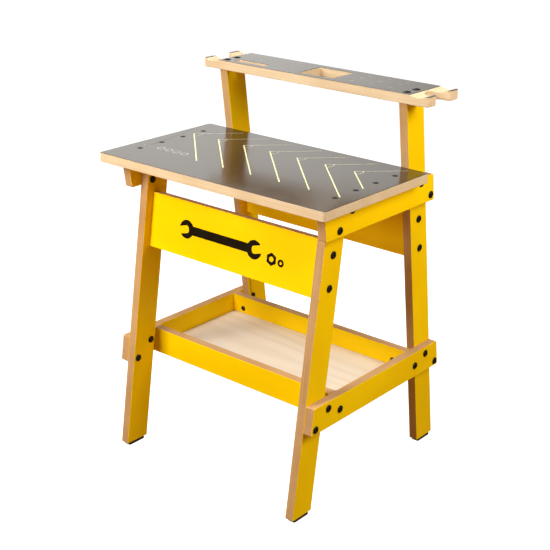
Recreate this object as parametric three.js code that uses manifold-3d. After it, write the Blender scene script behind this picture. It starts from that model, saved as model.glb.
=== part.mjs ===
// Child's toy tool bench: flat boards bolted into a frame, with a laminated bench top, a tray
// between the legs and a tool shelf on the two long rear legs.
// Millimetres. +X is the bench's right, +Y its back and +Z up. The origin is on the floor,
// in the middle between the legs.
import * as THREE from 'three';
import { mergeVertices } from 'three/addons/utils/BufferGeometryUtils.js';
import Module from 'manifold-3d';

const wasm = await Module();
wasm.setup();

// Driving dimensions.
const BOARD = 15; // thickness of every board but the tray's bottom
const GAP = 0.3; // play left between neighbouring pieces
const LEAN = THREE.MathUtils.degToRad(8.1); // the legs' lean towards the middle of the bench
const SIDES = { left: -1, right: 1 };
const ENDS = { front: -1, rear: 1 };

const LEG_WIDTH = 44;
const LEG_SPAN = 376; // over the outer faces of the left and right legs
const FOOTPRINT = 382; // front leg's front edge to rear leg's back edge, down at the floor
const FOOT_HEIGHT = 5;
const FOOT_INSET = 5; // pad's ends in from the leg's edges
const FOOT_SIDE_INSET = 0.4;
const FOOT_CORNER = 3;

const TOP_LENGTH = 450;
const TOP_DEPTH = 255;
const TOP_HEIGHT = 503.5; // upper face of the bench top
const TOP_BACK = 74; // its back edge, just in front of the rear legs
const TOP_CORNER = 5;

const RAIL_HEIGHT = 43.5;
const RAIL_CORNER = 2.5;
const TOP_RAIL_FRONT = 153; // front end's upper corner, ahead of the middle
const TOP_RAIL_SLANT = 6.5; // how far the lower corner is set back from it
const LOWER_RAIL_TOP = 190;

const APRON_HEIGHT = 90;
const APRON_MIDDLE = { front: 388.6, rear: 390.8 }; // heights of the aprons' centre lines
const APRON_BOLTS = { upper: 413.5, lower: 363.5 };

const TRAY_REACH = 100.8; // tray board's centre line, ahead of and behind the middle
const TRAY_BOLT_HEIGHT = 167;
const PANEL = 6; // thickness of the tray's bottom
const PANEL_TOP = 158;
const PANEL_LENGTH = 372;
const GROOVE_DEPTH = 5;

const SHELF_LENGTH = 449;
const SHELF_DEPTH = 85;
const SHELF_FRONT = 57.5;
const SHELF_TOP = 620.5;
const SHELF_SHIFT = 1.8; // the shelf's middle, to the right of the bench's
const PRONG_CORNER = 6;
const NOTCH_WIDTH = 36;
const NOTCH_DEPTH = 31;
const SCOOP_MIDDLE = 205; // middle of the scooped band across each fork
const SCOOP_WIDTH = 28;
const SCOOP_DEPTH = 3.2;
const SHELF_OPENINGS = [
  { left: -27, right: 39, front: 70.5, back: 126.5, radius: 3 },
  { left: -164, right: -100, front: 70, back: 83.5, radius: 3 },
];

const BOLT = { shank: 3, head: 6, rise: 2.4, edge: 0.8 }; // radii, head height, head's rounding
const SOCKET = { radius: 2.3, depth: 1.4 }; // hexagon socket
const DOWEL = { radius: 5, depth: 12, inset: 24 }; // cross dowel's hole, and its way in from a board's end
const SHELF_BOLT_SPACING = 24.5;
const SHELF_BOLT_SINK = 1.5; // the shelf bolts' heads sit in shallow pockets
const SHELF_BOLT_LENGTH = 50;
const PAIRS = {
  top: { height: 467.7, out: 14, up: 12.3 },
  lower: { height: 167.1, out: 15, up: 12 },
};
const SCREW = { shank: 2, head: 4.2, sink: 2.4, length: 40 };
const SCREWS_PER_SIDE = 4;
const SCREW_FIRST = -120;
const SCREW_SPACING = 49;

const ROUND = 10; // sides of a shank, head or hole
const CORNER_STEPS = 4;

// Heights and reaches that follow.
const legSlope = Math.tan(LEAN);
const legReach = LEG_WIDTH / Math.cos(LEAN); // leg's width, measured level
const legX = LEG_SPAN / 2 - BOARD / 2;
const railX = LEG_SPAN / 2 + GAP + BOARD / 2;
const topUnderside = TOP_HEIGHT - BOARD;
const shelfUnderside = SHELF_TOP - BOARD;
const trayInner = TRAY_REACH - BOARD / 2;
const legOuter = (z) => FOOTPRINT / 2 - z * legSlope;
const legInner = (z) => legOuter(z) - legReach;
const legCentre = (z) => legOuter(z) - legReach / 2;

const paint = (color, roughness, metalness = 0) =>
  new THREE.MeshStandardMaterial({ color, roughness, metalness });
const yellowBoard = paint('#f2c200', 0.45);
const laminateBoard = paint('#6e6459', 0.2);
const birchPanel = paint('#ecd9bd', 0.6);
const blackSteel = paint('#1c1917', 0.35, 0.6);
const blackPad = paint('#15130f', 0.7);

// Solids and booleans.
function toSolid(geometry, matrix = new THREE.Matrix4()) {
  const plain = geometry.clone().applyMatrix4(matrix);
  plain.deleteAttribute('normal');
  plain.deleteAttribute('uv');
  const merged = mergeVertices(plain, 1e-4);
  return new wasm.Manifold(new wasm.Mesh({
    numProp: 3,
    vertProperties: Float32Array.from(merged.attributes.position.array),
    triVerts: Uint32Array.from(merged.index.array),
  }));
}

function toGeometry(solid) {
  const mesh = solid.getMesh();
  const geometry = new THREE.BufferGeometry();
  geometry.setAttribute('position', new THREE.BufferAttribute(mesh.vertProperties, 3));
  geometry.setIndex(new THREE.BufferAttribute(mesh.triVerts, 1));
  geometry.computeVertexNormals();
  return geometry;
}

function cut(geometry, tools) {
  const result = tools.reduce((solid, tool) => solid.subtract(tool), toSolid(geometry));
  return toGeometry(result);
}

// Outlines and plates.
function roundedOutline(corners, radius) {
  const outline = new THREE.Shape();
  corners.forEach((corner, index) => {
    const before = corners.at(index - 1);
    const after = corners[(index + 1) % corners.length];
    const enter = corner.clone().add(before.clone().sub(corner).setLength(radius));
    const leave = corner.clone().add(after.clone().sub(corner).setLength(radius));
    if (index === 0) outline.moveTo(enter.x, enter.y);
    else outline.lineTo(enter.x, enter.y);
    outline.quadraticCurveTo(corner.x, corner.y, leave.x, leave.y);
  });
  outline.closePath();
  return outline;
}

function rectangle(width, height) {
  return [[-1, -1], [1, -1], [1, 1], [-1, 1]].map(
    ([u, v]) => new THREE.Vector2((u * width) / 2, (v * height) / 2),
  );
}

// A plate of the given thickness, centred on the outline's plane.
function plate(outline, thickness) {
  const geometry = new THREE.ExtrudeGeometry(outline, {
    depth: thickness,
    bevelEnabled: false,
    curveSegments: CORNER_STEPS,
  });
  return geometry.translate(0, 0, -thickness / 2);
}

// A cutting cylinder from one point to another.
function drill(from, to, radius, sides = ROUND) {
  const along = to.clone().sub(from);
  const turn = new THREE.Quaternion().setFromUnitVectors(
    new THREE.Vector3(0, 1, 0),
    along.clone().normalize(),
  );
  const middle = from.clone().add(to).multiplyScalar(0.5);
  const matrix = new THREE.Matrix4().compose(middle, turn, new THREE.Vector3(1, 1, 1));
  return toSolid(new THREE.CylinderGeometry(radius, radius, along.length(), sides), matrix);
}

const point = (x, y, z) => new THREE.Vector3(x, y, z);
const corner = (y, z) => new THREE.Vector2(y, z);

// Turns a plate drawn in side view (y to the right, z up) so that it stands across X.
const sideView = new THREE.Quaternion().setFromRotationMatrix(
  new THREE.Matrix4().makeBasis(point(0, 1, 0), point(0, 0, 1), point(1, 0, 0)),
);

// Bolts: where each one is, seen from the side.
function railPair(pair, end) {
  const middle = legCentre(pair.height);
  return {
    upper: corner(end * (middle - pair.out), pair.height + pair.up),
    lower: corner(end * (middle + pair.out), pair.height - pair.up),
  };
}

function apronPair(end) {
  return {
    upper: corner(end * legCentre(APRON_BOLTS.upper), APRON_BOLTS.upper),
    lower: corner(end * legCentre(APRON_BOLTS.lower), APRON_BOLTS.lower),
  };
}

const trayBolt = (end) => corner(end * TRAY_REACH, TRAY_BOLT_HEIGHT);
const shelfBoltY = (end) => legCentre(shelfUnderside) + (end * SHELF_BOLT_SPACING) / 2;
const screwY = (index) => SCREW_FIRST + index * SCREW_SPACING;
const clearance = BOLT.shank + GAP;

function sideHoles(places) {
  return places.map((place) =>
    drill(point(place.x, place.y, -BOARD), point(place.x, place.y, BOARD), clearance));
}

// Legs: straight boards cut level at the foot and under the bench top or shelf.
function legGeometry(end, top) {
  const bottom = FOOT_HEIGHT;
  const outline = new THREE.Shape([
    corner(end * legInner(bottom), bottom),
    corner(end * legOuter(bottom), bottom),
    corner(end * legOuter(top), top),
    corner(end * legInner(top), top),
  ]);
  const pairs = [railPair(PAIRS.top, end), railPair(PAIRS.lower, end), apronPair(end)];
  const tools = sideHoles(pairs.flatMap((pair) => [pair.upper, pair.lower]));
  if (end === ENDS.rear) {
    const depth = SHELF_TOP - SHELF_BOLT_SINK - SHELF_BOLT_LENGTH - GAP;
    Object.values(ENDS).forEach((row) => {
      const y = shelfBoltY(row);
      tools.push(drill(point(y, depth, 0), point(y, top + BOARD, 0), clearance));
    });
  }
  return cut(plate(outline, BOARD), tools);
}

// Side rails: boards on the outside of the legs.
function topRailGeometry() {
  const top = topUnderside - GAP;
  const bottom = topUnderside - RAIL_HEIGHT;
  const outline = roundedOutline([
    corner(-TOP_RAIL_FRONT + TOP_RAIL_SLANT, bottom),
    corner(legOuter(bottom), bottom),
    corner(legOuter(top), top),
    corner(-TOP_RAIL_FRONT, top),
  ], RAIL_CORNER);
  const pairs = Object.values(ENDS).map((end) => railPair(PAIRS.top, end));
  const tools = sideHoles(pairs.flatMap((pair) => [pair.upper, pair.lower]));
  for (let index = 0; index < SCREWS_PER_SIDE; index += 1) {
    const tip = TOP_HEIGHT - SCREW.length - GAP;
    const from = point(screwY(index), tip, 0);
    const to = point(screwY(index), top + BOARD, 0);
    tools.push(drill(from, to, SCREW.shank + GAP));
  }
  return cut(plate(outline, BOARD), tools);
}

function lowerRailGeometry() {
  const top = LOWER_RAIL_TOP;
  const bottom = top - RAIL_HEIGHT;
  const outline = roundedOutline([
    corner(-legOuter(bottom), bottom),
    corner(legOuter(bottom), bottom),
    corner(legOuter(top), top),
    corner(-legOuter(top), top),
  ], RAIL_CORNER);
  const places = Object.values(ENDS).flatMap((end) => {
    const pair = railPair(PAIRS.lower, end);
    return [pair.upper, pair.lower, trayBolt(end)];
  });
  return cut(plate(outline, BOARD), sideHoles(places));
}

// A cross board between the two sides: a bolt runs into each end and is held by a cross dowel,
// whose hole opens in the board's inner face. bolts gives the bolts' heights above the middle.
function crossBoardGeometry(length, height, bolts, inward, extra = []) {
  const tools = [...extra];
  Object.values(SIDES).forEach((side) => {
    const end = (side * length) / 2;
    const dowel = end - side * DOWEL.inset;
    bolts.forEach((z) => {
      tools.push(drill(
        point(end + side * BOARD, 0, z),
        point(dowel - side * (DOWEL.radius + GAP), 0, z),
        clearance,
      ));
      tools.push(drill(
        point(dowel, inward * BOARD, z),
        point(dowel, inward * (BOARD / 2 - DOWEL.depth), z),
        DOWEL.radius,
      ));
    });
  });
  return cut(new THREE.BoxGeometry(length, BOARD, height), tools);
}

function apronGeometry(middle) {
  const bolts = Object.values(APRON_BOLTS).map((z) => (z - middle) / Math.cos(LEAN));
  const length = LEG_SPAN - 2 * (BOARD + GAP);
  return crossBoardGeometry(length, APRON_HEIGHT, bolts, 1);
}

function trayBoardGeometry(end) {
  const middle = LOWER_RAIL_TOP - RAIL_HEIGHT / 2;
  const groove = new THREE.BoxGeometry(LEG_SPAN + BOARD, GROOVE_DEPTH * 2, PANEL + 2 * GAP);
  const place = new THREE.Matrix4().makeTranslation(
    0,
    (-end * BOARD) / 2,
    PANEL_TOP - PANEL / 2 - middle,
  );
  const bolts = [TRAY_BOLT_HEIGHT - middle];
  return crossBoardGeometry(LEG_SPAN, RAIL_HEIGHT, bolts, -end, [toSolid(groove, place)]);
}

// Bench top: laminated board screwed down on the top rails.
function screwOutline(play) {
  const shank = SCREW.shank + play;
  const head = SCREW.head + play;
  return [
    new THREE.Vector2(0, -SCREW.length - play),
    new THREE.Vector2(shank, -SCREW.length - play),
    new THREE.Vector2(shank, -SCREW.sink - play),
    new THREE.Vector2(head, 0),
  ];
}

function screwHole(x, y) {
  const rim = new THREE.Vector2(SCREW.head + GAP, BOARD);
  const profile = [...screwOutline(GAP), rim, new THREE.Vector2(0, BOARD)];
  const matrix = new THREE.Matrix4().makeRotationX(Math.PI / 2).setPosition(x, y, BOARD / 2);
  return toSolid(new THREE.LatheGeometry(profile, ROUND), matrix);
}

function benchTopGeometry() {
  const outline = roundedOutline(rectangle(TOP_LENGTH, TOP_DEPTH), TOP_CORNER);
  const middle = TOP_BACK - TOP_DEPTH / 2;
  const tools = [];
  Object.values(SIDES).forEach((side) => {
    for (let index = 0; index < SCREWS_PER_SIDE; index += 1) {
      tools.push(screwHole(side * railX, screwY(index) - middle));
    }
  });
  return cut(plate(outline, BOARD), tools);
}

// Tool shelf: each end forks into two prongs with a shallow scoop across them. A window and a
// narrow slot go through it, for tools that hang by their handles.
function forkCorners(side) {
  const end = SHELF_LENGTH / 2;
  const half = SHELF_DEPTH / 2;
  const notch = NOTCH_WIDTH / 2;
  const fork = new THREE.Path();
  fork.moveTo(end - PRONG_CORNER, -half);
  fork.absarc(end - PRONG_CORNER, PRONG_CORNER - half, PRONG_CORNER, -Math.PI / 2, 0);
  fork.absarc(end - PRONG_CORNER, -notch - PRONG_CORNER, PRONG_CORNER, 0, Math.PI / 2);
  fork.absarc(end - NOTCH_DEPTH + notch, 0, notch, -Math.PI / 2, Math.PI / 2, true);
  fork.absarc(end - PRONG_CORNER, notch + PRONG_CORNER, PRONG_CORNER, -Math.PI / 2, 0);
  fork.absarc(end - PRONG_CORNER, half - PRONG_CORNER, PRONG_CORNER, 0, Math.PI / 2);
  const corners = fork.getPoints(CORNER_STEPS * 2);
  return corners.map((place) => new THREE.Vector2(side * place.x, side * place.y));
}

function shelfGeometry() {
  const outline = new THREE.Shape([...forkCorners(1), ...forkCorners(-1)]);
  const scoopRadius = (SCOOP_WIDTH ** 2 / 4 + SCOOP_DEPTH ** 2) / (2 * SCOOP_DEPTH);
  const height = BOARD / 2 - SCOOP_DEPTH + scoopRadius;
  const middle = SHELF_FRONT + SHELF_DEPTH / 2;
  SHELF_OPENINGS.forEach(({ left, right, front, back, radius }) => {
    const at = corner((left + right) / 2 - SHELF_SHIFT, (front + back) / 2 - middle);
    const corners = rectangle(right - left, back - front).map((place) => place.add(at));
    outline.holes.push(roundedOutline(corners, radius));
  });
  const tools = [];
  Object.values(SIDES).forEach((side) => {
    const from = point(side * SCOOP_MIDDLE, -SHELF_DEPTH, height);
    const to = point(side * SCOOP_MIDDLE, SHELF_DEPTH, height);
    tools.push(drill(from, to, scoopRadius, ROUND * 4));
    Object.values(ENDS).forEach((row) => {
      const x = side * legX - SHELF_SHIFT;
      const y = shelfBoltY(row) - middle;
      const seat = BOARD / 2 - SHELF_BOLT_SINK;
      tools.push(drill(point(x, y, -BOARD), point(x, y, BOARD), clearance));
      tools.push(drill(point(x, y, seat), point(x, y, BOARD), BOLT.head + GAP, ROUND * 2));
    });
  });
  return cut(plate(outline, BOARD), tools);
}

// Fasteners stand on their own axis, +Y. A bolt's head rests at zero. A bolt that goes right
// through two boards ends in a cap nut, which is one body with it here.
function boltGeometry(grip, cap) {
  const { shank, head, rise, edge } = BOLT;
  const capProfile = [
    new THREE.Vector2(0, -grip - rise),
    new THREE.Vector2(head - edge, -grip - rise),
    new THREE.Vector2(head, -grip),
  ];
  const profile = cap ? capProfile : [new THREE.Vector2(0, -grip)];
  profile.push(
    new THREE.Vector2(shank, -grip),
    new THREE.Vector2(shank, 0),
    new THREE.Vector2(head, 0),
    new THREE.Vector2(head, rise - edge),
    new THREE.Vector2(head - edge, rise),
    new THREE.Vector2(0, rise),
  );
  const socket = drill(
    point(0, rise - SOCKET.depth, 0),
    point(0, rise + SOCKET.depth, 0),
    SOCKET.radius,
    6,
  );
  return cut(new THREE.LatheGeometry(profile, ROUND), [socket]);
}

function screwGeometry() {
  const profile = [...screwOutline(0), new THREE.Vector2(0, 0)];
  return new THREE.LatheGeometry(profile, ROUND);
}

function footGeometry() {
  const length = legReach - 2 * FOOT_INSET;
  const outline = roundedOutline(rectangle(BOARD - 2 * FOOT_SIDE_INSET, length), FOOT_CORNER);
  return plate(outline, FOOT_HEIGHT - GAP);
}

// Assembly.
const group = new THREE.Group();

function addPiece(parent, name, geometry, material, position) {
  const mesh = new THREE.Mesh(geometry, material);
  mesh.name = name;
  mesh.position.copy(position);
  parent.add(mesh);
  return mesh;
}

const topMiddle = point(0, TOP_BACK - TOP_DEPTH / 2, TOP_HEIGHT - BOARD / 2);
addPiece(group, 'bench_top', benchTopGeometry(), laminateBoard, topMiddle);
const shelfMiddle = point(SHELF_SHIFT, SHELF_FRONT + SHELF_DEPTH / 2, SHELF_TOP - BOARD / 2);
addPiece(group, 'tool_shelf', shelfGeometry(), laminateBoard, shelfMiddle);

// Boards across the bench, and the tray's bottom in their grooves.
Object.entries(ENDS).forEach(([place, end]) => {
  const middle = APRON_MIDDLE[place];
  const apronAt = point(0, end * legCentre(middle), middle);
  const apron = addPiece(group, `${place}_apron`, apronGeometry(middle), yellowBoard, apronAt);
  apron.rotation.x = end * LEAN;
  const boardAt = point(0, end * TRAY_REACH, LOWER_RAIL_TOP - RAIL_HEIGHT / 2);
  addPiece(group, `tray_${place}_board`, trayBoardGeometry(end), yellowBoard, boardAt);
});
const panelDepth = 2 * (TRAY_REACH - BOARD / 2 + GROOVE_DEPTH - GAP);
const panelOutline = new THREE.Shape(rectangle(PANEL_LENGTH, panelDepth));
const panelAt = point(0, 0, PANEL_TOP - PANEL / 2);
addPiece(group, 'tray_bottom_panel', plate(panelOutline, PANEL), birchPanel, panelAt);

// One side: two legs with their feet, the two rails and all that is bolted through them. The
// group's own +X points outwards from the bench, so that both sides are built alike.
const legTops = { front: topUnderside - GAP, rear: shelfUnderside - GAP };
const through = boltGeometry(2 * BOARD + 3 * GAP, true);
const intoBoard = boltGeometry(BOARD + GAP + DOWEL.inset + DOWEL.radius, false);
const intoLeg = boltGeometry(SHELF_BOLT_LENGTH - 2 * GAP, false);
const outwards = (side) => new THREE.Quaternion().setFromUnitVectors(point(0, 1, 0), point(side, 0, 0));
const upwards = new THREE.Quaternion().setFromUnitVectors(point(0, 1, 0), point(0, 0, 1));

function addSide(sideName, side) {
  const label = (name) => `${name}_${sideName}`;
  const onRail = side * (LEG_SPAN / 2 + BOARD + 2 * GAP);
  const onLeg = side * (LEG_SPAN / 2 + GAP);

  const stand = (name, geometry, x) => {
    const board = addPiece(group, label(name), geometry, yellowBoard, point(x, 0, 0));
    board.quaternion.copy(sideView);
  };
  const sideBolt = (name, geometry, x, place) => {
    const at = point(x, place.x, place.y);
    addPiece(group, label(name), geometry, blackSteel, at).quaternion.copy(outwards(side));
  };

  stand('top_rail', topRailGeometry(), side * railX);
  stand('lower_rail', lowerRailGeometry(), side * railX);
  Object.entries(ENDS).forEach(([place, end]) => {
    stand(`${place}_leg`, legGeometry(end, legTops[place]), side * legX);
    const footAt = point(side * legX, end * legCentre(FOOT_HEIGHT), (FOOT_HEIGHT - GAP) / 2);
    addPiece(group, label(`${place}_foot_pad`), footGeometry(), blackPad, footAt);

    Object.entries(railPair(PAIRS.top, end)).forEach(([row, at]) => {
      sideBolt(`top_rail_bolt_${place}_${row}`, through, onRail, at);
    });
    Object.entries(railPair(PAIRS.lower, end)).forEach(([row, at]) => {
      sideBolt(`lower_rail_bolt_${place}_${row}`, through, onRail, at);
    });
    Object.entries(apronPair(end)).forEach(([row, at]) => {
      sideBolt(`${place}_apron_bolt_${row}`, intoBoard, onLeg, at);
    });
    sideBolt(`tray_bolt_${place}`, intoBoard, onRail, trayBolt(end));

    const shelfAt = point(side * legX, shelfBoltY(end), SHELF_TOP - SHELF_BOLT_SINK + GAP);
    const shelfBolt = addPiece(group, label(`shelf_bolt_${place}`), intoLeg, blackSteel, shelfAt);
    shelfBolt.quaternion.copy(upwards);
  });

  for (let index = 0; index < SCREWS_PER_SIDE; index += 1) {
    const screwAt = point(side * railX, screwY(index), TOP_HEIGHT);
    const name = label(`top_screw_${index + 1}`);
    addPiece(group, name, screwGeometry(), blackSteel, screwAt).quaternion.copy(upwards);
  }
}

Object.entries(SIDES).forEach(([sideName, side]) => addSide(sideName, side));

export default group;
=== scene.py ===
"""Looks of the toy tool bench: painted and laminated boards, bare cut edges, black fasteners."""
import math

import bmesh
import bpy
from mathutils import Matrix, Vector


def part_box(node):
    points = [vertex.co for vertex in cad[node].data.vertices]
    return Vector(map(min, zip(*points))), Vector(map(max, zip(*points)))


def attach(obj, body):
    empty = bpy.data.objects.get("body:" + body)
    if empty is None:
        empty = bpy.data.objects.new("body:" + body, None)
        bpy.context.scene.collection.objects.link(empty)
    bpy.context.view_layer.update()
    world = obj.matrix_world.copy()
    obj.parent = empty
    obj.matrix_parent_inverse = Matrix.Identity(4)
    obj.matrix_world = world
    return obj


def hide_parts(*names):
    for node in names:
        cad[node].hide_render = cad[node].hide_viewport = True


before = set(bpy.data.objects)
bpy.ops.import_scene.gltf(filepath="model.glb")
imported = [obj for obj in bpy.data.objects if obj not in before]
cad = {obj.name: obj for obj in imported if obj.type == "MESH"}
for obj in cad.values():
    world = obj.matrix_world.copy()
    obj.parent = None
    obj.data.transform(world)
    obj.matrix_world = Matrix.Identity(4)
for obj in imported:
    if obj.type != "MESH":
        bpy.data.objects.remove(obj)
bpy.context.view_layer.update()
MM = 0.001
SIDES = {"left": -1, "right": 1}
ENDS = {"front": -1, "rear": 1}

# Sizes taken from the CAD pieces.
top_low, top_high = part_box("bench_top")
shelf_low, shelf_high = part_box("tool_shelf")
BOARD = top_high.z - top_low.z
LEAN = math.radians(8.1)
LEG_WIDTH = 44 * MM
APRON_HEIGHT = 90 * MM

# How far the edges are rounded over, by board.
PAINTED_EASE = 0.7 * MM
LAMINATED_EASE = 0.8 * MM
PANEL_EASE = 0.3 * MM
PAD_EASE = 0.5 * MM


# ---------------------------------------------------------------- materials
def add_node(tree, kind, sockets=None, **settings):
    """A node with its settings. A socket's value is a plain value or another node's output."""
    node = tree.nodes.new(kind)
    for name, value in settings.items():
        setattr(node, name, value)
    for key, value in (sockets or {}).items():
        if isinstance(value, bpy.types.NodeSocket):
            tree.links.new(value, node.inputs[key])
        else:
            node.inputs[key].default_value = value
    return node


class Surface:
    """A node material, with one short call for each kind of node."""

    def __init__(self, name):
        self.material = bpy.data.materials.new(name)
        self.material.use_nodes = True
        self.tree = self.material.node_tree
        self.tree.nodes.clear()
        self.where = self.add("ShaderNodeTexCoord").outputs["Object"]

    def add(self, kind, sockets=None, **settings):
        return add_node(self.tree, kind, sockets, **settings)

    def math(self, operation, a, b=0.0):
        return self.add("ShaderNodeMath", {0: a, 1: b}, operation=operation).outputs[0]

    def local(self, place):
        sockets = {"Vector": self.where, "Location": place.centre, "Rotation": place.turn}
        return self.add("ShaderNodeMapping", sockets, vector_type="TEXTURE").outputs[0]

    def scaled(self, vector, factors, shift=0.0):
        sockets = {"Vector": vector, "Scale": factors, "Location": (shift, shift, shift)}
        return self.add("ShaderNodeMapping", sockets).outputs[0]

    def split(self, vector):
        return self.add("ShaderNodeSeparateXYZ", {"Vector": vector}).outputs

    def noise(self, vector, scale, detail=2.0, roughness=0.5, distortion=0.0):
        sockets = {
            "Vector": vector,
            "Scale": scale,
            "Detail": detail,
            "Roughness": roughness,
            "Distortion": distortion,
        }
        return self.add("ShaderNodeTexNoise", sockets).outputs[0]

    def cells(self, vector, scale):
        sockets = {"Vector": vector, "Scale": scale}
        return self.add("ShaderNodeTexVoronoi", sockets).outputs["Distance"]

    def ramp(self, value, low, high, to_low=0.0, to_high=1.0):
        sockets = {
            "Value": value,
            "From Min": low,
            "From Max": high,
            "To Min": to_low,
            "To Max": to_high,
        }
        return self.add("ShaderNodeMapRange", sockets, interpolation_type="SMOOTHSTEP").outputs[0]

    def mix(self, factor, a, b):
        sockets = {0: factor, 6: rgba(a), 7: rgba(b)}
        return self.add("ShaderNodeMix", sockets, data_type="RGBA").outputs[2]

    def blend(self, factor, a, b):
        return self.add("ShaderNodeMix", {0: factor, 2: a, 3: b}).outputs[0]

    def bump(self, height, distance, strength):
        sockets = {"Height": height, "Distance": distance, "Strength": strength}
        return self.add("ShaderNodeBump", sockets).outputs[0]

    def finish(self, **sockets):
        named = {name.replace("_", " "): value for name, value in sockets.items()}
        shader = self.add("ShaderNodeBsdfPrincipled", named)
        self.add("ShaderNodeOutputMaterial", {"Surface": shader.outputs[0]})
        return self.material


def rgba(colour):
    if isinstance(colour, bpy.types.NodeSocket):
        return colour
    return (*colour, 1.0)


class Place:
    """Where a board lies: its centre, the way it is turned, and its half sizes."""

    def __init__(self, node, length_axis, width_axis, half_width=0.0):
        low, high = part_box(node)
        length = Vector(length_axis).normalized()
        width = Vector(width_axis).normalized()
        turned = Matrix((length, width, length.cross(width))).transposed()
        self.centre = (low + high) / 2
        self.turn = turned.to_euler()
        self.half_width = half_width
        self.normal = length.cross(width)


FRAME_WOOD = ((0.56, 0.33, 0.150), (0.44, 0.24, 0.095), (0.24, 0.125, 0.05))
TOP_WOOD = ((0.66, 0.50, 0.310), (0.53, 0.37, 0.205), (0.32, 0.20, 0.10))
YELLOW = (0.94, 0.610, 0.0004)
YELLOW_DEEP = (0.88, 0.550, 0.0003)
LAMINATE = ((0.024, 0.016, 0.009), (0.032, 0.023, 0.014), (0.08, 0.065, 0.05))
# The shelf's tones are the bench top's laminate made a little darker: painted shade, standing in for the
# dimmer light on the shelf's top.
SHELF_LAMINATE_SHADED = ((0.020, 0.015, 0.010), (0.028, 0.021, 0.014), (0.07, 0.058, 0.045))
BIRCH_PALE = (0.76, 0.67, 0.54)
BIRCH_WARM = (0.685, 0.575, 0.43)
BIRCH_FLECK = (0.45, 0.32, 0.20)
PLIES = 8


def bare_wood(s, local, seed, tones):
    """Colour and height of a sawn plywood edge: fibres along it, faint plies and pores."""
    pale, dark, deep = tones
    along = s.scaled(local, (6.0, 260.0, 520.0), seed)
    fibre = s.noise(along, 1.0, 4.0, 0.62, 0.3)
    patch = s.noise(s.scaled(local, (1.0, 1.0, 1.0), seed), 16.0, 2.0)
    tone = s.math("ADD", s.math("MULTIPLY", fibre, 0.62), s.math("MULTIPLY", patch, 0.38))
    colour = s.mix(s.ramp(tone, 0.34, 0.68), pale, dark)
    wander = s.noise(local, 45.0, 1.0)
    height = s.split(local)[2]
    plies = s.math("MULTIPLY", s.math("ADD", height, s.math("MULTIPLY", wander, 0.0006)), PLIES / BOARD)
    phase = s.math("PINGPONG", plies, 1.0)
    layer = s.ramp(phase, 0.30, 0.70)
    colour = s.mix(s.math("MULTIPLY", layer, 0.16), colour, dark)
    glue = s.ramp(s.math("PINGPONG", plies, 0.5), 0.07, 0.0)
    colour = s.mix(s.math("MULTIPLY", glue, 0.22), colour, deep)
    pores = s.ramp(s.cells(s.scaled(local, (60.0, 1500.0, 1500.0), seed), 1.0), 0.16, 0.05)
    colour = s.mix(s.math("MULTIPLY", pores, 0.30), colour, deep)
    relief = s.math("SUBTRACT", fibre, s.math("MULTIPLY", pores, 0.6))
    return colour, relief


def painted_board(name, place, seed):
    """Bright yellow paint on both faces, with bare wood at the cut edges and in the holes."""
    s = Surface(name)
    local = s.local(place)
    _, across, through = s.split(local)
    depth = s.math("ABSOLUTE", through)
    ragged = s.math("MULTIPLY", s.math("SUBTRACT", s.noise(local, 700.0, 3.0), 0.5), 0.0004)
    depth = s.math("ADD", depth, ragged)
    skin = s.ramp(depth, BOARD / 2 - 0.00055, BOARD / 2 - 0.00038)
    rim = s.ramp(s.math("ABSOLUTE", across), place.half_width - 0.0026, place.half_width - 0.0006)
    chips = s.ramp(s.noise(s.scaled(local, (1.0, 1.0, 1.0), seed), 210.0, 4.0, 0.6), 0.645, 0.665)
    skin = s.math("MULTIPLY", skin, s.math("SUBTRACT", 1.0, s.math("MULTIPLY", rim, chips)))

    wood, relief = bare_wood(s, local, seed, FRAME_WOOD)
    cloud = s.noise(s.scaled(local, (0.6, 1.0, 1.0), seed), 11.0, 3.0)
    paint = s.mix(s.ramp(cloud, 0.35, 0.70), YELLOW, YELLOW_DEEP)
    telegraph = s.noise(s.scaled(local, (9.0, 330.0, 330.0), seed), 1.0, 3.0, 0.6)
    paint = s.mix(s.ramp(telegraph, 0.50, 0.80, 0.0, 0.16), paint, (0.82, 0.45, 0.0003))
    rubbed = s.math("MULTIPLY", rim, s.ramp(s.noise(local, 60.0, 3.0), 0.45, 0.75, 0.0, 0.35))
    paint = s.mix(rubbed, paint, (0.92, 0.62, 0.05))
    peel = s.noise(local, 620.0, 2.0)
    scuff_field = s.noise(s.scaled(local, (14.0, 420.0, 420.0), seed + 3.0), 1.0, 2.0, 0.5, 1.2)
    scuff = s.ramp(scuff_field, 0.70, 0.80)
    haze = s.noise(local, 24.0, 4.0, 0.6)

    colour = s.mix(skin, wood, paint)
    gloss = s.ramp(haze, 0.3, 0.7, 0.30, 0.42)
    gloss = s.math("ADD", gloss, s.math("MULTIPLY", scuff, 0.12))
    gloss = s.math("ADD", gloss, s.math("MULTIPLY", peel, 0.04))
    dull = s.ramp(relief, 0.3, 0.7, 0.58, 0.74)
    fine = s.math("ADD", s.math("MULTIPLY", peel, 0.35), s.math("MULTIPLY", telegraph, 0.65))
    height = s.math("ADD", s.blend(skin, relief, fine), s.math("MULTIPLY", skin, 0.8))
    return s.finish(
        Base_Color=colour,
        Roughness=s.blend(skin, dull, gloss),
        Specular_IOR_Level=0.07,
        Normal=s.bump(height, 0.00012, 0.55),
    )


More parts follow.
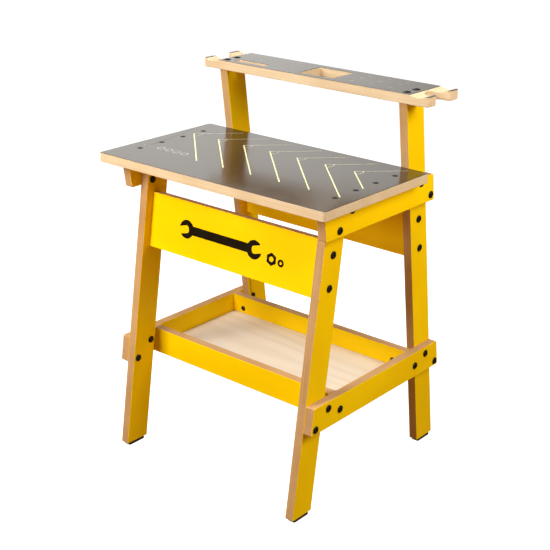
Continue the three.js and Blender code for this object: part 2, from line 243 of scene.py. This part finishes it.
def laminated_board(name, place, seed, tones, ior):
    """A glossy dark laminate on the upper face of a plywood board."""
    s = Surface(name)
    base, cloudy, worn = tones
    local = s.local(place)
    _, _, through = s.split(local)
    ragged = s.math("MULTIPLY", s.math("SUBTRACT", s.noise(local, 800.0, 3.0), 0.5), 0.00022)
    level = s.math("ADD", through, ragged)
    skin = s.ramp(level, BOARD / 2 - 0.00055, BOARD / 2 - 0.00042)

    wood, relief = bare_wood(s, local, seed, TOP_WOOD)
    smudge = s.noise(s.scaled(local, (0.7, 1.0, 1.0), seed), 13.0, 4.0, 0.55, 0.4)
    strokes = s.noise(s.scaled(local, (16.0, 700.0, 700.0), seed), 1.0, 2.0, 0.5, 0.8)
    cross = s.noise(s.scaled(local, (640.0, 22.0, 640.0), seed + 5.0), 1.0, 2.0, 0.5, 1.0)
    scratch = s.math("MAXIMUM", s.ramp(strokes, 0.70, 0.76), s.ramp(cross, 0.74, 0.79))
    speck = s.ramp(s.cells(s.scaled(local, (1.0, 1.0, 1.0), seed), 520.0), 0.10, 0.04)
    top = s.mix(s.ramp(smudge, 0.35, 0.75), base, cloudy)
    top = s.mix(s.math("MULTIPLY", scratch, 0.5), top, worn)
    top = s.mix(s.math("MULTIPLY", speck, 0.35), top, worn)
    gloss = s.ramp(smudge, 0.3, 0.75, 0.15, 0.21)
    gloss = s.math("ADD", gloss, s.math("MULTIPLY", scratch, 0.10))
    peel = s.noise(local, 480.0, 2.0)
    fine = s.math("SUBTRACT", s.math("MULTIPLY", peel, 0.18), s.math("MULTIPLY", scratch, 0.25))
    dull = s.ramp(relief, 0.3, 0.7, 0.55, 0.72)
    height = s.math("ADD", s.blend(skin, relief, fine), skin)
    return s.finish(
        Base_Color=s.mix(skin, wood, top),
        Roughness=s.blend(skin, dull, gloss),
        IOR=ior,
        Normal=s.bump(height, 0.0001, 0.35),
    )


def birch_panel(name, place, seed):
    """Pale sanded birch plywood with long figure, fibres and small flecks."""
    s = Surface(name)
    local = s.local(place)
    bend = s.noise(s.scaled(local, (2.0, 7.0, 7.0), seed), 1.0, 2.0)
    _, across, _ = s.split(local)
    rings = s.math("ADD", s.math("MULTIPLY", across, 60.0), s.math("MULTIPLY", bend, 9.0))
    figure = s.math("PINGPONG", rings, 1.0)
    fibre = s.noise(s.scaled(local, (10.0, 520.0, 520.0), seed), 1.0, 4.0, 0.6)
    cloud = s.noise(s.scaled(local, (0.5, 1.0, 1.0), seed), 9.0, 3.0)
    tone = s.math("ADD", s.math("MULTIPLY", s.ramp(figure, 0.15, 1.0), 0.30), s.math("MULTIPLY", fibre, 0.45))
    tone = s.math("ADD", tone, s.math("MULTIPLY", cloud, 0.35))
    colour = s.mix(s.ramp(tone, 0.42, 0.92), BIRCH_PALE, BIRCH_WARM)
    fleck = s.ramp(s.cells(s.scaled(local, (90.0, 900.0, 900.0), seed), 1.0), 0.13, 0.04)
    colour = s.mix(s.math("MULTIPLY", fleck, 0.35), colour, BIRCH_FLECK)
    height = s.math("SUBTRACT", fibre, s.math("MULTIPLY", fleck, 0.5))
    return s.finish(
        Base_Color=colour,
        Roughness=s.ramp(fibre, 0.3, 0.7, 0.46, 0.62),
        IOR=1.45,
        Normal=s.bump(height, 0.0001, 0.5),
    )


def black_steel(name):
    """Black coated steel, rubbed a little on the rims of heads and sockets."""
    s = Surface(name)
    cloud = s.noise(s.where, 420.0, 3.0)
    grit = s.noise(s.where, 2600.0, 2.0)
    corners = s.add("ShaderNodeNewGeometry").outputs["Pointiness"]
    worn = s.math("MULTIPLY", s.ramp(corners, 0.53, 0.62), s.ramp(cloud, 0.40, 0.70))
    coat = s.mix(s.ramp(cloud, 0.3, 0.7), (0.006, 0.0045, 0.0035), (0.013, 0.010, 0.008))
    return s.finish(
        Base_Color=s.mix(s.math("MULTIPLY", worn, 0.30), coat, (0.11, 0.10, 0.09)),
        Specular_IOR_Level=0.16,
        Roughness=s.ramp(cloud, 0.25, 0.75, 0.30, 0.46),
        Normal=s.bump(grit, 0.00004, 0.4),
    )


def turned_steel(name):
    """Dark oiled steel with fine turning marks, for the cross dowels."""
    s = Surface(name)
    cloud = s.noise(s.where, 380.0, 3.0)
    x, y, _ = s.split(s.where)
    radius = s.math("SQRT", s.math("ADD", s.math("MULTIPLY", x, x), s.math("MULTIPLY", y, y)))
    turned = s.math("PINGPONG", s.math("MULTIPLY", radius, 5200.0), 1.0)
    return s.finish(
        Base_Color=s.mix(s.ramp(cloud, 0.3, 0.7), (0.085, 0.075, 0.065), (0.040, 0.034, 0.028)),
        Metallic=1.0,
        Roughness=s.ramp(cloud, 0.3, 0.7, 0.32, 0.50),
        Normal=s.bump(turned, 0.00003, 0.4),
    )


def pad_rubber(name):
    """Matt black rubber with a fine moulded grain and dusty patches."""
    s = Surface(name)
    grain = s.noise(s.where, 1900.0, 3.0)
    dust = s.ramp(s.noise(s.where, 90.0, 4.0, 0.6), 0.52, 0.74)
    return s.finish(
        Base_Color=s.mix(s.math("MULTIPLY", dust, 0.5), (0.012, 0.011, 0.010), (0.055, 0.048, 0.04)),
        Roughness=s.ramp(grain, 0.3, 0.7, 0.66, 0.86),
        Normal=s.bump(grain, 0.00008, 0.6),
    )


def print_ink(name, colour, faded, seed, shine=0.5):
    """Printing ink: slightly uneven, thinner in small spots."""
    s = Surface(name)
    thin = s.ramp(s.noise(s.scaled(s.where, (1.0, 1.0, 1.0), seed), 420.0, 4.0, 0.6), 0.52, 0.74)
    cloud = s.noise(s.where, 40.0, 3.0)
    ink = s.mix(s.ramp(cloud, 0.35, 0.7, 0.0, 0.4), colour, faded)
    grit = s.noise(s.where, 1500.0, 2.0)
    return s.finish(
        Base_Color=s.mix(s.math("MULTIPLY", thin, 0.4), ink, faded),
        Specular_IOR_Level=shine,
        Roughness=s.ramp(cloud, 0.3, 0.7, 0.30, 0.42),
        Normal=s.bump(grit, 0.00003, 0.3),
    )


# ---------------------------------------------------------------- pieces
def new_piece(name, mesh, material=None, replaced=None):
    piece = bpy.data.objects.new(name, mesh)
    bpy.context.scene.collection.objects.link(piece)
    if material is not None:
        mesh.materials.clear()
        mesh.materials.append(material)
    if replaced is not None:
        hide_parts(replaced)
    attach(piece, "root")
    return piece


def smooth(mesh, angle):
    for polygon in mesh.polygons:
        polygon.use_smooth = True
    mesh.set_sharp_from_angle(angle=math.radians(angle))


def eased_board(node, material, ease):
    """A CAD board or foot pad with its edges rounded over a little, in the plain one's place."""
    bm = bmesh.new()
    bm.from_mesh(cad[node].data)
    bmesh.ops.remove_doubles(bm, verts=bm.verts, dist=1e-6)
    flat = math.radians(0.4)
    bmesh.ops.dissolve_limit(bm, angle_limit=flat, verts=bm.verts, edges=bm.edges)
    sharp = [edge for edge in bm.edges if edge.calc_face_angle(0.0) > math.radians(45)]
    settings = {"offset_type": "OFFSET", "segments": 3, "profile": 0.5, "affect": "EDGES"}
    bmesh.ops.bevel(bm, geom=sharp, offset=ease, clamp_overlap=False, loop_slide=False, **settings)
    bmesh.ops.triangulate(bm, faces=[face for face in bm.faces if len(face.verts) > 4])
    mesh = bpy.data.meshes.new(node + "_board")
    bm.to_mesh(mesh)
    bm.free()
    smooth(mesh, 32)
    piece = new_piece(node + "_board", mesh, material, node)
    weigh = piece.modifiers.new("flat_faces", "WEIGHTED_NORMAL")
    weigh.keep_sharp = True
    weigh.weight = 100


def ring_radius(shape, size, angle):
    """How far out a ring is at an angle: round, a hexagon's, or a narrow slot's outline."""
    if shape == "hexagon":
        third = math.pi / 3
        return size / math.cos((angle + third / 2) % third - third / 2)
    if shape == "slot":
        half_length, half_width = size
        along = abs(math.cos(angle)) / half_length
        across = abs(math.sin(angle)) / half_width
        return 1 / max(along, across)
    return size


TURNED_STEPS = 48


def turned_mesh(name, rings):
    """A closed mesh about +Z through rings of (shape, size, height), from one end to the other."""
    bm = bmesh.new()
    loops = []
    for shape, size, height in rings:
        loop = []
        for step in range(TURNED_STEPS):
            angle = 2 * math.pi * step / TURNED_STEPS
            radius = ring_radius(shape, size, angle)
            spot = (radius * math.cos(angle), radius * math.sin(angle), height)
            loop.append(bm.verts.new(spot))
        loops.append(loop)
    for one, other in zip(loops, loops[1:]):
        for step in range(TURNED_STEPS):
            after = (step + 1) % TURNED_STEPS
            bm.faces.new((one[step], one[after], other[after], other[step]))
    bm.faces.new(list(reversed(loops[0])))
    bm.faces.new(loops[-1])
    bmesh.ops.recalc_face_normals(bm, faces=bm.faces)
    mesh = bpy.data.meshes.new(name)
    bm.to_mesh(mesh)
    bm.free()
    smooth(mesh, 28)
    return mesh


HEAD = {"radius": 5.95 * MM, "rise": 2.4 * MM, "rim": 0.55 * MM}
SOCKET = {"size": 2.05 * MM, "depth": 1.5 * MM, "lip": 0.22 * MM}
SHANK = {"radius": 2.95 * MM, "tip": 2.2 * MM, "taper": 0.8 * MM}
SEAT_GAP = 0.02 * MM  # between a head's seat and its shank's first ring
SEAT_CHAMFER = 0.18 * MM


def dome(radius, rise, rim, inner, steps=7):
    """Rings of a low dome, from its flat middle out to its rim and down to its seat."""
    start = math.asin(inner / radius)
    rings = []
    for step in range(steps + 1):
        angle = start + (math.pi / 2 - start) * step / steps
        height = rim + (rise - rim) * math.cos(angle) / math.cos(start)
        rings.append(("round", radius * math.sin(angle), height))
    rings.append(("round", radius, SEAT_CHAMFER))
    rings.append(("round", radius - SEAT_CHAMFER, SEAT_GAP))
    return rings


def bolt_mesh(name, reach, capped):
    """A button head bolt with a hexagon socket. Its head's seat is at zero, and it points down."""
    size = SOCKET["size"]
    rise = HEAD["rise"]
    rings = [
        ("hexagon", size * 0.5, rise - SOCKET["depth"] - 0.25 * MM),
        ("hexagon", size, rise - SOCKET["depth"]),
        ("hexagon", size, rise - SOCKET["lip"]),
        ("hexagon", size + SOCKET["lip"], rise),
    ]
    rings += dome(HEAD["radius"], rise, HEAD["rim"], 2.9 * MM)
    rings.append(("round", SHANK["radius"], SEAT_GAP))
    if capped:
        cap = dome(HEAD["radius"], rise, HEAD["rim"], 0.4 * MM)
        grip = reach - rise
        rings.append(("round", SHANK["radius"], -grip - SEAT_GAP))
        rings += [(shape, wide, -grip - high) for shape, wide, high in reversed(cap)]
    else:
        rings.append(("round", SHANK["radius"], -reach + SHANK["taper"]))
        rings.append(("round", SHANK["tip"], -reach))
    return turned_mesh(name, rings)


def screw_mesh(name, reach):
    """A countersunk screw with a hexagon socket, its head flush with zero."""
    size = 1.55 * MM
    rings = [
        ("hexagon", size * 0.5, -1.55 * MM),
        ("hexagon", size, -1.35 * MM),
        ("hexagon", size, -0.15 * MM),
        ("hexagon", size + 0.15 * MM, -0.02 * MM),
        ("round", 3.0 * MM, -0.005 * MM),
        ("round", 3.75 * MM, -0.01 * MM),
        ("round", 4.0 * MM, -0.10 * MM),
        ("round", 4.0 * MM, -0.30 * MM),
        ("round", 1.95 * MM, -2.35 * MM),
        ("round", 1.95 * MM, -reach + 5 * MM),
        ("round", 0.35 * MM, -reach),
    ]
    return turned_mesh(name, rings)


def dowel_mesh(name):
    """A steel cross dowel with a screwdriver slot in its end, its face at zero."""
    slot = (3.6 * MM, 0.65 * MM)
    opened = (3.75 * MM, 0.80 * MM)
    rings = [
        ("slot", slot, -1.3 * MM),
        ("slot", slot, -0.12 * MM),
        ("slot", opened, 0.0),
        ("round", 4.3 * MM, 0.0),
        ("round", 4.85 * MM, -0.5 * MM),
        ("round", 4.85 * MM, -10.4 * MM),
        ("round", 4.3 * MM, -10.9 * MM),
    ]
    return turned_mesh(name, rings)


def turned_to(direction, at, spin):
    """The matrix that points a turned mesh's +Z in a direction."""
    turn = Vector((0, 0, 1)).rotation_difference(Vector(direction)).to_matrix().to_4x4()
    return Matrix.Translation(at) @ turn @ Matrix.Rotation(spin, 4, "Z")


PRINT_SUNK = 0.04 * MM  # how far a print reaches into its board


def outline_piece(name, outlines, matrix, slot, material, raised):
    """Flat shapes a hair's breadth proud of a board. Each outline is a list of points, or a pair
    of lists, outer and inner, for a shape with a hole."""
    bm = bmesh.new()
    for outline in outlines:
        if isinstance(outline, tuple):
            outer, inner = outline
            add_ring_prism(bm, outer, inner, raised)
        else:
            add_prism(bm, outline, raised)
    bmesh.ops.recalc_face_normals(bm, faces=bm.faces)
    mesh = bpy.data.meshes.new(name)
    bm.to_mesh(mesh)
    bm.free()
    piece = new_piece(name, mesh, material)
    piece.matrix_world = matrix


def add_prism(bm, outline, raised):
    upper = [bm.verts.new((x, y, raised)) for x, y in outline]
    lower = [bm.verts.new((x, y, -PRINT_SUNK)) for x, y in outline]
    bm.faces.new(upper)
    bm.faces.new(list(reversed(lower)))
    for index in range(len(outline)):
        after = (index + 1) % len(outline)
        bm.faces.new((lower[index], lower[after], upper[after], upper[index]))


def add_ring_prism(bm, outer, inner, raised):
    loops = []
    for points, height in ((outer, raised), (outer, -PRINT_SUNK), (inner, -PRINT_SUNK), (inner, raised)):
        loops.append([bm.verts.new((x, y, height)) for x, y in points])
    for number in range(4):
        one = loops[number]
        other = loops[(number + 1) % 4]
        for index in range(len(outer)):
            after = (index + 1) % len(outer)
            bm.faces.new((one[index], one[after], other[after], other[index]))


# ---------------------------------------------------------------- boards
lean_sin = math.sin(LEAN)
lean_cos = math.cos(LEAN)
seed_number = 0


def next_seed():
    global seed_number
    seed_number += 1
    return seed_number * 1.37


def lay_painted(node, length_axis, width_axis, width):
    place = Place(node, length_axis, width_axis, width / 2)
    material = painted_board(node + "_paint", place, next_seed())
    eased_board(node, material, PAINTED_EASE)
    return place


aprons = {}
rail_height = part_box("lower_rail_left")[1].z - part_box("lower_rail_left")[0].z
for end_name, end in ENDS.items():
    up = (0, -end * lean_sin, lean_cos)
    aprons[end_name] = lay_painted(end_name + "_apron", (1, 0, 0), up, APRON_HEIGHT)
    lay_painted("tray_" + end_name + "_board", (1, 0, 0), (0, 0, 1), rail_height)
    for side_name in SIDES:
        leg = end_name + "_leg_" + side_name
        lay_painted(leg, up, (0, lean_cos, end * lean_sin), LEG_WIDTH)
for side_name in SIDES:
    lay_painted("top_rail_" + side_name, (0, 1, 0), (0, 0, 1), rail_height)
    lay_painted("lower_rail_" + side_name, (0, 1, 0), (0, 0, 1), rail_height)

# The shelf's darker tones are painted shade on the same laminate as the bench top, and its lower IOR gives it
# a weaker reflection.
for node, tones, ior in (("bench_top", LAMINATE, 1.60), ("tool_shelf", SHELF_LAMINATE_SHADED, 1.48)):
    place = Place(node, (1, 0, 0), (0, 1, 0))
    material = laminated_board(node + "_laminate", place, next_seed(), tones, ior)
    eased_board(node, material, LAMINATED_EASE)
place = Place("tray_bottom_panel", (1, 0, 0), (0, 1, 0))
panel_material = birch_panel("tray_panel_birch", place, next_seed())
eased_board("tray_bottom_panel", panel_material, PANEL_EASE)
rubber = pad_rubber("foot_pad_rubber")
for end_name in ENDS:
    for side_name in SIDES:
        eased_board(end_name + "_foot_pad_" + side_name, rubber, PAD_EASE)

# ---------------------------------------------------------------- fasteners
steel = black_steel("black_coated_steel")
dowel_steel = turned_steel("dark_dowel_steel")
meshes = {}


def fastener(node, direction):
    """Puts the detailed bolt or screw where the plain one is. Its head looks along direction."""
    low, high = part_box(node)
    middle = (low + high) / 2
    direction = Vector(direction)
    half = abs((high - low).dot(direction)) / 2
    head = middle + direction * half
    turn = (sum(map(ord, node)) % 12) * math.radians(7.0)
    if node.startswith("top_screw"):
        kind = "screw"
        reach = 2 * half
        maker = screw_mesh
        sizes = (reach,)
        seat = head
    else:
        capped = "rail_bolt" in node
        seat = head - direction * HEAD["rise"]
        reach = 2 * half - HEAD["rise"]
        kind = "bolt_%d" % round(reach / MM)
        maker = bolt_mesh
        sizes = (reach, capped)
    if kind not in meshes:
        meshes[kind] = maker(kind, *sizes)
        meshes[kind].materials.append(steel)
    piece = new_piece(node + "_steel", meshes[kind], None, node)
    piece.matrix_world = turned_to(direction, seat, turn)


for node in sorted(cad):
    side = -1 if node.endswith("left") else 1
    if node.startswith(("top_screw", "shelf_bolt")):
        fastener(node, (0, 0, 1))
    elif "bolt" in node:
        fastener(node, (side, 0, 0))

dowel = dowel_mesh("cross_dowel")
dowel.materials.append(dowel_steel)
DOWEL_INSET = 24 * MM  # from the board's end to the dowel's axis
DOWEL_SINK = 0.5 * MM


def cross_dowel(name, board, bolt, face):
    """A cross dowel in its hole, on the bolt's axis and just under the board's face."""
    low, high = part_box(bolt)
    side = -1 if bolt.endswith("left") else 1
    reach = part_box(board)[1].x - DOWEL_INSET
    spot = Vector((side * reach, (low.y + high.y) / 2, (low.z + high.z) / 2))
    at = spot + Vector(face) * (BOARD / 2 - DOWEL_SINK)
    piece = new_piece(name, dowel)
    piece.matrix_world = turned_to(face, at, math.radians(25.0 + 40.0 * side))


for end_name, end in ENDS.items():
    apron_face = (0, lean_cos, end * lean_sin)
    for side_name in SIDES:
        for row in ("upper", "lower"):
            label = end_name + "_apron_dowel_" + row + "_" + side_name
            bolt = end_name + "_apron_bolt_" + row + "_" + side_name
            cross_dowel(label, end_name + "_apron", bolt, apron_face)
        board = "tray_" + end_name + "_board"
        bolt = "tray_bolt_" + end_name + "_" + side_name
        cross_dowel("tray_dowel_" + end_name + "_" + side_name, board, bolt, (0, -end, 0))

# ---------------------------------------------------------------- prints
guide_ink = print_ink("guide_print_ink", (0.74, 0.69, 0.36), (0.52, 0.48, 0.27), 2.0)
fine_ink = print_ink("fine_print_ink", (0.50, 0.47, 0.30), (0.36, 0.33, 0.23), 3.0)
mark_ink = print_ink("shelf_print_ink", (0.29, 0.275, 0.235), (0.19, 0.175, 0.15), 4.0)
emblem_ink = print_ink("emblem_print_ink", (0.007, 0.004, 0.0015), (0.014, 0.008, 0.003), 6.0, 0.1)


def cross_point(p, d, q, e):
    """Where the line from p along d meets the line from q along e."""
    share = ((q[0] - p[0]) * e[1] - (q[1] - p[1]) * e[0]) / (d[0] * e[1] - d[1] * e[0])
    return (p[0] + share * d[0], p[1] + share * d[1])


GUIDES = {"count": 7, "first": -195.5 * MM, "pitch": 55.45 * MM, "y": 4 * MM, "right": 198.5 * MM}
THICK_LINE = {"run": 117.5 * MM, "half": 0.95 * MM}
THIN_LINE = {"run": 58.0 * MM, "half": 0.5 * MM}
GUIDE_ARC = {"radius": 14 * MM, "half": 0.45 * MM, "first": -39, "last": 42}


def guide_angle(tip, right_edge):
    """One printed right angle: its thick line to the front, and its thin line to the back."""
    x, y = tip
    root = math.sqrt(0.5)
    sides = {}
    for lead, line in ((-1, THICK_LINE), (1, THIN_LINE)):
        half = line["half"]
        run = min(line["run"], right_edge - x)
        across = (root * half, -lead * root * half)
        near = (x - across[0], y - across[1])
        far = (x + across[0], y + across[1])
        end = (x + run, y + lead * run)
        before = (end[0] - across[0], end[1] - across[1])
        after = (end[0] + across[0], end[1] + across[1])
        sides[lead] = (near, far, before, after)
    front = sides[-1]
    back = sides[1]
    outer = cross_point(front[0], (1, -1), back[0], (1, 1))
    inner = cross_point(front[1], (1, -1), back[1], (1, 1))
    thick = [outer, front[2], front[3], inner]
    thin = [outer, inner, back[3], back[2]]
    return thick, thin


def arc_band(centre, radius, half, first, last, steps=14):
    """A thin band along an arc, angles in degrees."""
    outer = []
    inner = []
    for step in range(steps + 1):
        angle = math.radians(first + (last - first) * step / steps)
        way = (math.cos(angle), math.sin(angle))
        outer.append((centre[0] + (radius + half) * way[0], centre[1] + (radius + half) * way[1]))
        inner.append((centre[0] + (radius - half) * way[0], centre[1] + (radius - half) * way[1]))
    return outer + inner[::-1]


def bar(x, y, width, height):
    """A small upright rectangle about a point."""
    half_width = width / 2
    half_height = height / 2
    return [
        (x - half_width, y - half_height),
        (x + half_width, y - half_height),
        (x + half_width, y + half_height),
        (x - half_width, y + half_height),
    ]


def circle(x, y, radius, steps=24):
    points = []
    for step in range(steps):
        angle = 2 * math.pi * step / steps
        points.append((x + radius * math.cos(angle), y + radius * math.sin(angle)))
    return points


top_middle = Matrix.Translation((0, 0, top_high.z))
thick_lines = []
thin_lines = []
for number in range(GUIDES["count"]):
    tip = (GUIDES["first"] + number * GUIDES["pitch"], GUIDES["y"])
    thick, thin = guide_angle(tip, GUIDES["right"])
    thick_lines.append(thick)
    thin_lines.append(thin)
    thin_lines.append(arc_band(tip, **GUIDE_ARC))
on_top = (top_middle, "laminated_board")
outline_piece("bench_top_guide_marks", thick_lines, *on_top, guide_ink, 0.06 * MM)
outline_piece("bench_top_guide_fine_marks", thin_lines, *on_top, fine_ink, 0.05 * MM)

TOP_RINGS = {"count": 4, "first": -170 * MM, "pitch": 17 * MM, "y": -98 * MM}
TOP_RING = {"outer": 6.8 * MM, "inner": 4.6 * MM}
TOP_BAR = {"x": -196 * MM, "y": -100 * MM, "width": 26 * MM, "height": 0.8 * MM}
rings = []
for number in range(TOP_RINGS["count"]):
    at = (TOP_RINGS["first"] + number * TOP_RINGS["pitch"], TOP_RINGS["y"])
    rings.append((circle(*at, TOP_RING["outer"]), circle(*at, TOP_RING["inner"])))
rings.append(bar(**TOP_BAR))
outline_piece("bench_top_ring_marks", rings, *on_top, mark_ink, 0.05 * MM)

shelf_middle = Matrix.Translation((0, (shelf_low.y + shelf_high.y) / 2, shelf_high.z))
SHELF_COLUMNS = (-135, -70, 72, 108, 144)
SHELF_ROWS = (-21, 4, 27)
SHELF_RING = {"outer": 2.6 * MM, "inner": 1.9 * MM}
marks = []
for x in SHELF_COLUMNS:
    for y in SHELF_ROWS:
        at = (x * MM, y * MM)
        marks.append((circle(*at, SHELF_RING["outer"]), circle(*at, SHELF_RING["inner"])))
outline_piece("tool_shelf_ring_marks", marks, shelf_middle, "laminated_board", mark_ink, 0.05 * MM)


HEAD_ARC_STEPS = 16
CHEEK_ARC_STEPS = 10
SPANNER = {"half_length": 85.5 * MM, "head": 15.0 * MM, "jaw": 6.2 * MM, "grip": 7.2 * MM}
SPANNER_AT = (-23.5 * MM, 0.5 * MM)
NUT_AT = (82 * MM, -6 * MM)
NUT = {"outer": 9.0 * MM, "inner": 4.2 * MM}
NUT_STEPS = 24
WASHER_AT = (100.5 * MM, -8 * MM)
WASHER = {"outer": 6.0 * MM, "inner": 2.4 * MM}


def spanner(half_length, head, jaw, grip):
    """Outline of a double open-ended spanner about the origin."""
    tilt = math.radians(15.0)
    centre = half_length - head
    first = -(math.pi - math.asin(grip / head))
    lower = tilt - math.asin(jaw / head)
    upper = tilt + math.asin(jaw / head)
    half = []
    for step in range(HEAD_ARC_STEPS + 1):
        angle = first + (lower - first) * step / HEAD_ARC_STEPS
        half.append((centre + head * math.cos(angle), head * math.sin(angle)))
    for along, across in ((-0.25, -1.0), (-0.75, -0.5), (-0.75, 0.5), (-0.25, 1.0)):
        u = along * jaw
        v = across * jaw
        spot_x = centre + u * math.cos(tilt) - v * math.sin(tilt)
        half.append((spot_x, u * math.sin(tilt) + v * math.cos(tilt)))
    last = math.pi - math.asin(grip / head)
    for step in range(CHEEK_ARC_STEPS + 1):
        angle = upper + (last - upper) * step / CHEEK_ARC_STEPS
        half.append((centre + head * math.cos(angle), head * math.sin(angle)))
    return half + [(-x, -y) for x, y in half]


apron_place = aprons["front"]
apron_centre = apron_place.centre
outward = apron_place.normal
if outward.y > 0:
    outward = -outward
upward = Vector((0, lean_sin, lean_cos))
axes = Matrix((Vector((1, 0, 0)), upward, outward)).transposed().to_4x4()
face = Matrix.Translation(apron_centre + outward * BOARD / 2) @ axes
shapes = [[(x + SPANNER_AT[0], y + SPANNER_AT[1]) for x, y in spanner(**SPANNER)]]
nut_outer = []
for step in range(NUT_STEPS):
    angle = 2 * math.pi * step / NUT_STEPS
    radius = ring_radius("hexagon", NUT["outer"], angle)
    nut_outer.append((NUT_AT[0] + radius * math.cos(angle), NUT_AT[1] + radius * math.sin(angle)))
shapes.append((nut_outer, circle(*NUT_AT, NUT["inner"])))
shapes.append((circle(*WASHER_AT, WASHER["outer"]), circle(*WASHER_AT, WASHER["inner"])))
outline_piece("front_apron_emblem", shapes, face, "yellow_board", emblem_ink, 0.08 * MM)

# ---------------------------------------------------------------- floor, light and camera
# A wide bowl of pale paper: the floor, a curved rise and a dome far behind everything.
BOWL = ((0.0, 0.0), (12.0, 0.0), (14.0, 0.6), (15.2, 2.4), (15.6, 6.0), (12.0, 12.0), (0.0, 14.0))
BOWL_STEPS = 48
floor_mesh = bpy.data.meshes.new("floor")
bowl = bmesh.new()
middle = bowl.verts.new((0, 0, BOWL[0][1]))
summit = bowl.verts.new((0, 0, BOWL[-1][1]))
loops = []
for wide, high in BOWL[1:-1]:
    loop = []
    for step in range(BOWL_STEPS):
        angle = 2 * math.pi * step / BOWL_STEPS
        loop.append(bowl.verts.new((wide * math.cos(angle), wide * math.sin(angle), high)))
    loops.append(loop)
for step in range(BOWL_STEPS):
    after = (step + 1) % BOWL_STEPS
    bowl.faces.new((middle, loops[0][step], loops[0][after]))
    for one, other in zip(loops, loops[1:]):
        bowl.faces.new((one[step], other[step], other[after], one[after]))
    bowl.faces.new((loops[-1][step], summit, loops[-1][after]))
bmesh.ops.recalc_face_normals(bowl, faces=bowl.faces)
bowl.to_mesh(floor_mesh)
bowl.free()
floor = bpy.data.objects.new("floor", floor_mesh)
bpy.context.scene.collection.objects.link(floor)
fs = Surface("floor_paper")
tint = fs.noise(fs.where, 3.0, 3.0)
paper = fs.mix(tint, (0.38, 0.38, 0.38), (0.40, 0.40, 0.40))
white = (1.0, 1.0, 1.0, 1.0)
paper_white = fs.finish(Base_Color=paper, Roughness=0.9, Emission_Color=white, Emission_Strength=0.97)
paper_white.cycles.emission_sampling = "NONE"
floor_mesh.materials.append(paper_white)
floor.visible_diffuse = False
floor.visible_glossy = False
floor.visible_shadow = False

world = bpy.data.worlds.new("studio")
bpy.context.scene.world = world
world.use_nodes = True
sky = world.node_tree
sky.nodes.clear()


SKY_UPPER = (0.022, 0.020, 0.016, 1.0)
SKY_LOWER = (0.46, 0.260, 0.070, 1.0)
SKY_GLOW = (1.40, 1.37, 1.32, 1.0)
GLOW_WAY = (-0.80, 0.52, 0.25)
way = add_node(sky, "ShaderNodeTexCoord").outputs["Generated"]
up = add_node(sky, "ShaderNodeSeparateXYZ", {0: way}).outputs[2]
dot = add_node(sky, "ShaderNodeVectorMath", {0: way, 1: GLOW_WAY}, operation="DOT_PRODUCT")
span = {"Value": dot.outputs["Value"], "From Min": 0.80, "From Max": 0.97}
glow = add_node(sky, "ShaderNodeMapRange", span, interpolation_type="SMOOTHSTEP").outputs[0]
edge = {"Value": up, "From Min": -0.02, "From Max": 0.02}
above = add_node(sky, "ShaderNodeMapRange", edge).outputs[0]
halves = {0: above, 6: SKY_LOWER, 7: SKY_UPPER}
base = add_node(sky, "ShaderNodeMix", halves, data_type="RGBA").outputs[2]
mixing = {"data_type": "RGBA", "blend_type": "ADD"}
total = add_node(sky, "ShaderNodeMix", {0: glow, 6: base, 7: SKY_GLOW}, **mixing).outputs[2]
background = add_node(sky, "ShaderNodeBackground", {"Color": total, "Strength": 1.0})
add_node(sky, "ShaderNodeOutputWorld", {"Surface": background.outputs[0]})


def area_light(name, at, aim, size, watts):
    """A white soft box, which the camera doesn't see. Reflections show it unless told otherwise."""
    data = bpy.data.lights.new(name, "AREA")
    data.shape = "RECTANGLE"
    data.size = size[0]
    data.size_y = size[1]
    data.energy = watts
    lamp = bpy.data.objects.new(name, data)
    lamp.location = at
    towards = Vector(aim) - Vector(at)
    lamp.rotation_euler = towards.to_track_quat("-Z", "Y").to_euler()
    lamp.visible_camera = False
    bpy.context.scene.collection.objects.link(lamp)
    return lamp


area_light("overhead", at=(0, -0.2, 1.75), aim=(0, 0, 0.3), size=(1.3, 1.3), watts=25.0)
area_light("front", at=(-0.35, -1.15, 1.05), aim=(0, -0.1, 0.42), size=(0.6, 0.6), watts=21.6)
area_light("right", at=(1.4, 0.0, 1.2), aim=(0.1, 0, 0.4), size=(0.8, 0.8), watts=11.2)
area_light("right_near", at=(0.95, 0.15, 1.05), aim=(0.15, 0.05, 0.5), size=(0.5, 0.5), watts=4.8)
behind = area_light("behind", at=(-0.80, 1.10, 0.42), aim=(0, 0, 0.5), size=(2.4, 0.75), watts=9.0)
behind.visible_glossy = False

camera_data = bpy.data.cameras.new("camera")
camera = bpy.data.objects.new("camera", camera_data)
bpy.context.scene.collection.objects.link(camera)
CAMERA_AT = (1.1481, -1.3905, 1.0039)
LENS = 77.6
yaw = 0.6953
pitch = -0.3713
roll = 0.0134
ahead = Vector((-math.sin(yaw) * math.cos(pitch), math.cos(yaw) * math.cos(pitch), math.sin(pitch)))
right = ahead.cross(Vector((0, 0, 1))).normalized()
over = right.cross(ahead)
right_rolled = right * math.cos(roll) + over * math.sin(roll)
over_rolled = over * math.cos(roll) - right * math.sin(roll)
basis = Matrix((right_rolled, over_rolled, -ahead)).transposed().to_4x4()
camera.matrix_world = Matrix.Translation(CAMERA_AT) @ basis
camera_data.sensor_width = 36.0
camera_data.lens = LENS
bpy.context.scene.camera = camera
bpy.context.scene.view_settings.view_transform = "Standard"
bpy.context.scene.view_settings.look = "None"

bpy.context.view_layer.update()
